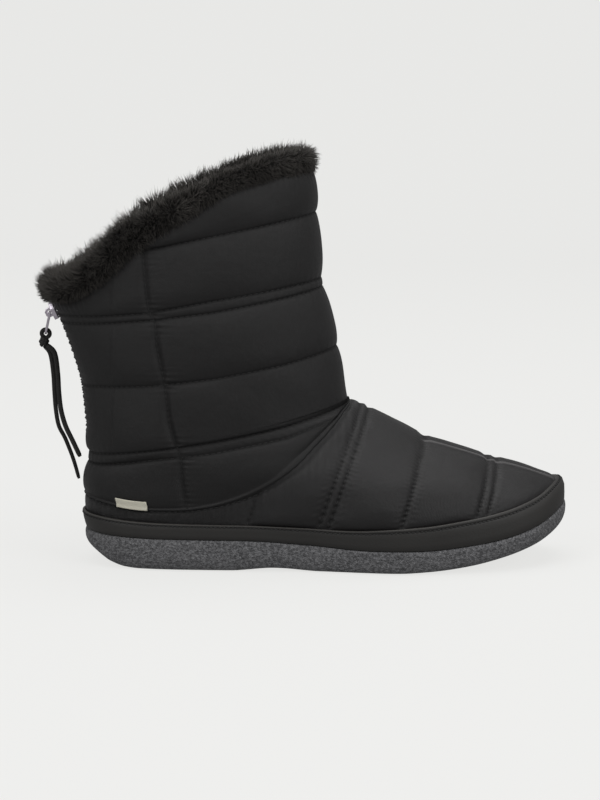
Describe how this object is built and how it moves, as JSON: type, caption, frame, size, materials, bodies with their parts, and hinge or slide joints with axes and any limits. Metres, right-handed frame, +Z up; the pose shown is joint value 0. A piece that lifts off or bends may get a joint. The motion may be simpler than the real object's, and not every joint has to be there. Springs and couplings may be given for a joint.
{
  "type": "quilted boot",
  "caption": "Right quilted winter boot: puffed nylon upper with a slanting fleece collar, back zip with a lace on its pull, foxing band and crepe sole.",
  "frame": {"origin": "on the floor under the middle of the heel's flat", "axes": "+X towards the toe, +Z up, -Y towards the outer side of the foot"},
  "size_m": [0.3031, 0.1033, 0.2331],
  "materials": {
    "crepe_sole": "matt, speckled foam crepe",
    "foxing": "satin",
    "quilted_nylon": "satin woven nylon over wadding",
    "vamp_nylon": "satin woven nylon over wadding",
    "fleece": "deep pile",
    "lining": "short pile",
    "zip_tape": "woven tape with a plastic coil",
    "zip_metal": "satin gunmetal",
    "lace_cord": "woven cord",
    "woven_label": "plain cream weave"
  },
  "bodies": {
    "boot": {"outsole": "crepe_sole", "insole": "lining", "foxing_band": "foxing", "vamp": "vamp_nylon", "shaft": "quilted_nylon", "fur_collar": "fleece", "zip": "zip_tape", "heel_label": "woven_label", "zip_slider": "zip_metal"},
    "pull": {"zip_pull": "zip_metal", "lace_knot": "lace_cord", "lace_end_short": "lace_cord", "lace_end_long": "lace_cord"}
  },
  "joints": [
    {"name": "pull_hinge", "type": "hinge", "parent": "boot", "child": "pull", "pos_m": [-0.05855, 0, 0.14188], "axis": [0, 1, 0], "range_deg": [0, 80]}
  ]
}
